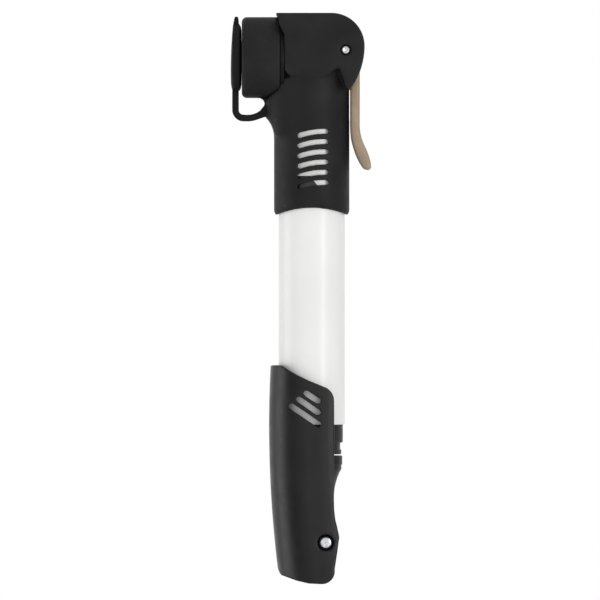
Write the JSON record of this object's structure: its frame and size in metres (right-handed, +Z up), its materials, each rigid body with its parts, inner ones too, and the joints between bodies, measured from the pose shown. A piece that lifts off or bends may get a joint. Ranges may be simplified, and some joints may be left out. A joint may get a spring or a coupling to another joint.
{
  "type": "mini pump",
  "caption": "Slim bicycle hand pump with a thumb-lock valve head, a tethered dust cap, a white barrel and a handle shell that folds out to a T.",
  "frame": {"origin": "on the barrel's axis, at the middle of its free stretch between head and handle collar, where a frame clip holds it", "axes": "+Z up the barrel to the head, -X to the valve port, +X to the thumb lever, -Y and +Y to the flat cheeks"},
  "size_m": [0.0468, 0.0278, 0.1902],
  "materials": {
    "head_nylon": "moulded black glass-filled nylon, fine satin grain",
    "collar_nylon": "moulded black nylon, satin",
    "knuckle_nylon": "moulded black nylon, satin",
    "handle_plastic": "moulded black plastic, fine spark-eroded grain",
    "lever_plastic": "moulded champagne-beige plastic, satin",
    "barrel_paint": "white powder coat on aluminium, semi-gloss",
    "cap_rubber": "black moulded rubber, matt",
    "gland_rubber": "black rubber",
    "seal_rubber": "black nitrile rubber",
    "acetal": "natural acetal",
    "brass": "turned brass",
    "steel": "zinc-plated steel",
    "spring_steel": "drawn spring wire",
    "rod_aluminium": "drawn and polished aluminium",
    "felt": "pressed wool felt"
  },
  "bodies": {
    "pump_body": {"head_body": "head_nylon", "gland_washer": "acetal", "valve_gland": "gland_rubber", "valve_insert": "acetal", "lever_pin": "steel", "cap_strap": "cap_rubber", "cap_ring": "cap_rubber", "outlet_seat": "brass", "check_spring": "spring_steel", "head_gasket": "seal_rubber", "barrel": "barrel_paint", "end_collar": "head_nylon", "rod_bush": "acetal", "rod_wiper": "felt", "bumper": "seal_rubber"},
    "collar": {"chuck_collar": "collar_nylon"},
    "plunger_body": {"plunger": "acetal", "plunger_seal": "seal_rubber"},
    "lever_body": {"lever": "lever_plastic"},
    "cap": {"dust_cap": "cap_rubber"},
    "poppet": {"check_poppet": "acetal"},
    "piston_body": {"piston": "acetal", "piston_seal": "seal_rubber"},
    "rod": {"piston_rod": "rod_aluminium", "piston_screw": "steel", "rod_knuckle": "knuckle_nylon", "rod_pin": "steel"},
    "handle": {"handle_shell": "handle_plastic", "pivot_screw": "steel", "pivot_nut": "steel"}
  },
  "joints": [
    {"name": "lever_turn", "type": "hinge", "parent": "pump_body", "child": "lever_body", "pos_m": [0.0113, 0, 0.0832], "axis": [0, -1, 0], "range_deg": [0, 90]},
    {"name": "plunger_slide", "type": "slide", "parent": "pump_body", "child": "plunger_body", "axis": [-1, 0, 0], "range_m": [0, 0.002]},
    {"name": "collar_turn", "type": "hinge", "parent": "pump_body", "child": "collar", "pos_m": [-0.017, 0, 0.0808], "axis": [-1, 0, 0], "range_deg": [0, 90]},
    {"name": "cap_swing", "type": "hinge", "parent": "pump_body", "child": "cap", "pos_m": [-0.024, 0, 0.0627], "axis": [0, -1, 0], "range_deg": [0, 110], "deforming": ["cap_strap"]},
    {"name": "poppet_lift", "type": "slide", "parent": "pump_body", "child": "poppet", "axis": [0, 0, 1], "range_m": [0, 0.0015], "stiffness_N_per_m": 40, "springref_m": -0.001, "deforming": ["check_spring"]},
    {"name": "pump_stroke", "type": "slide", "parent": "pump_body", "child": "piston_body", "axis": [0, 0, -1], "range_m": [0, 0.078]},
    {"name": "rod_turn", "type": "hinge", "parent": "piston_body", "child": "rod", "pos_m": [0, 0, 0], "axis": [0, 0, 1], "continuous": true},
    {"name": "handle_fold", "type": "hinge", "parent": "rod", "child": "handle", "pos_m": [0.00465, 0, -0.0807], "axis": [0, -1, 0], "range_deg": [0, 90]}
  ],
  "couplings": [
    {"joint": "plunger_slide", "follows": "lever_turn", "m_per_rad": 0.0012732}
  ]
}
